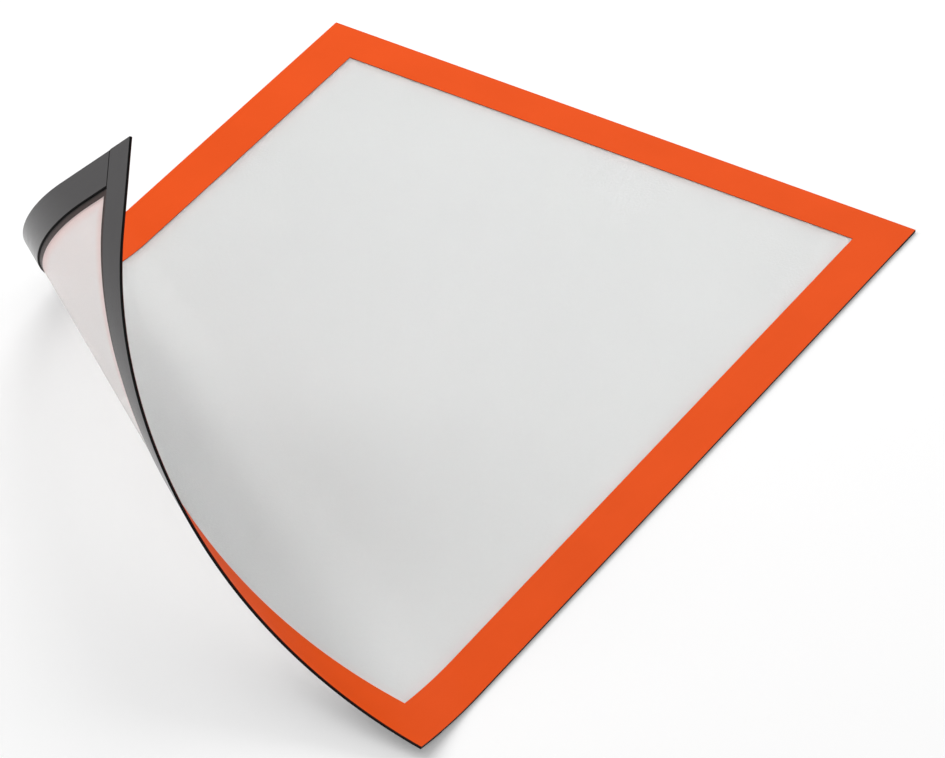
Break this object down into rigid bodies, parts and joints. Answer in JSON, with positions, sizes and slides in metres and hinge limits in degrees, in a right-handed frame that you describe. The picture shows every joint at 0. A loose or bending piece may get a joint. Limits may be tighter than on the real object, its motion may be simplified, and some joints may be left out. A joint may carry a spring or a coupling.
{
  "type": "magnetic photo frame",
  "caption": "Flexible magnetic frame for an A4 sheet: orange border, clear window film and magnet strips on the back, lying flat with one corner peeled back.",
  "frame": {"origin": "middle of the back face, where the magnet strips meet the surface", "axes": "+X along the long side away from the free corner, +Y along the short side towards it, +Z out of the front"},
  "size_m": [0.324, 0.2373, 0.1172],
  "materials": {
    "border_foil": "satin",
    "window_film": "satin",
    "magnet_strip": "satin"
  },
  "bodies": {
    "panel": {"border_foil_panel": "border_foil", "left_magnet_strip_panel": "magnet_strip", "right_magnet_strip_panel": "magnet_strip", "top_magnet_strip_panel": "magnet_strip", "window_film_panel": "window_film"},
    "fold_01": {"border_foil_01": "border_foil", "bottom_magnet_strip_01": "magnet_strip", "left_magnet_strip_01": "magnet_strip", "right_magnet_strip_01": "magnet_strip", "window_film_01": "window_film"},
    "fold_02": {"border_foil_02": "border_foil", "bottom_magnet_strip_02": "magnet_strip", "left_magnet_strip_02": "magnet_strip", "window_film_02": "window_film"},
    "fold_03": {"border_foil_03": "border_foil", "bottom_magnet_strip_03": "magnet_strip", "left_magnet_strip_03": "magnet_strip", "window_film_03": "window_film"},
    "fold_04": {"border_foil_04": "border_foil", "bottom_magnet_strip_04": "magnet_strip", "left_magnet_strip_04": "magnet_strip", "window_film_04": "window_film"},
    "fold_05": {"border_foil_05": "border_foil", "bottom_magnet_strip_05": "magnet_strip", "left_magnet_strip_05": "magnet_strip", "window_film_05": "window_film"},
    "fold_06": {"border_foil_06": "border_foil", "bottom_magnet_strip_06": "magnet_strip", "left_magnet_strip_06": "magnet_strip", "window_film_06": "window_film"},
    "fold_07": {"border_foil_07": "border_foil", "bottom_magnet_strip_07": "magnet_strip", "left_magnet_strip_07": "magnet_strip", "window_film_07": "window_film"},
    "fold_08": {"border_foil_08": "border_foil", "bottom_magnet_strip_08": "magnet_strip", "left_magnet_strip_08": "magnet_strip", "window_film_08": "window_film"},
    "fold_09": {"border_foil_09": "border_foil", "bottom_magnet_strip_09": "magnet_strip", "left_magnet_strip_09": "magnet_strip", "window_film_09": "window_film"},
    "fold_10": {"border_foil_10": "border_foil", "bottom_magnet_strip_10": "magnet_strip", "left_magnet_strip_10": "magnet_strip", "window_film_10": "window_film"}
  },
  "joints": [
    {"name": "peel_fold_01", "type": "hinge", "parent": "panel", "child": "fold_01", "pos_m": [-0.14018, -0.1185, 0.00105], "axis": [0.5564, 0.8309, 0], "range_deg": [-11.93, 6.07]},
    {"name": "peel_fold_02", "type": "hinge", "parent": "fold_01", "child": "fold_02", "pos_m": [-0.16164, -0.11544, 0.00518], "axis": [0.5797, 0.8148, -0.006], "range_deg": [-11.93, 6.07]},
    {"name": "peel_fold_03", "type": "hinge", "parent": "fold_02", "child": "fold_03", "pos_m": [-0.16069, -0.09254, 0.01059], "axis": [0.5862, 0.8101, -0.0095], "range_deg": [-11.93, 6.07]},
    {"name": "peel_fold_04", "type": "hinge", "parent": "fold_03", "child": "fold_04", "pos_m": [-0.15856, -0.07045, 0.01849], "axis": [0.5932, 0.8049, -0.0158], "range_deg": [-11.93, 6.07]},
    {"name": "peel_fold_05", "type": "hinge", "parent": "fold_04", "child": "fold_05", "pos_m": [-0.15485, -0.0495, 0.02858], "axis": [0.6004, 0.7993, -0.0259], "range_deg": [-11.93, 6.07]},
    {"name": "peel_fold_06", "type": "hinge", "parent": "fold_05", "child": "fold_06", "pos_m": [-0.14919, -0.02994, 0.04042], "axis": [0.6073, 0.7934, -0.0412], "range_deg": [-11.93, 6.07]},
    {"name": "peel_fold_07", "type": "hinge", "parent": "fold_06", "child": "fold_07", "pos_m": [-0.14131, -0.01202, 0.05352], "axis": [0.6126, 0.7878, -0.0642], "range_deg": [-11.93, 6.07]},
    {"name": "peel_fold_08", "type": "hinge", "parent": "fold_07", "child": "fold_08", "pos_m": [-0.13099, 0.00406, 0.0673], "axis": [0.614, 0.7831, -0.0986], "range_deg": [-11.93, 6.07]},
    {"name": "peel_fold_09", "type": "hinge", "parent": "fold_08", "child": "fold_09", "pos_m": [-0.1181, 0.01812, 0.08111], "axis": [0.6059, 0.7809, -0.152], "range_deg": [-11.93, 6.07]},
    {"name": "peel_fold_10", "type": "hinge", "parent": "fold_09", "child": "fold_10", "pos_m": [-0.1026, 0.03003, 0.09425], "axis": [0.5726, 0.7838, -0.2404], "range_deg": [-11.93, 6.07]}
  ],
  "couplings": [
    {"joint": "peel_fold_02", "follows": "peel_fold_01", "ratio": 1},
    {"joint": "peel_fold_03", "follows": "peel_fold_01", "ratio": 1},
    {"joint": "peel_fold_04", "follows": "peel_fold_01", "ratio": 1},
    {"joint": "peel_fold_05", "follows": "peel_fold_01", "ratio": 1},
    {"joint": "peel_fold_06", "follows": "peel_fold_01", "ratio": 1},
    {"joint": "peel_fold_07", "follows": "peel_fold_01", "ratio": 1},
    {"joint": "peel_fold_08", "follows": "peel_fold_01", "ratio": 1},
    {"joint": "peel_fold_09", "follows": "peel_fold_01", "ratio": 1},
    {"joint": "peel_fold_10", "follows": "peel_fold_01", "ratio": 1}
  ]
}
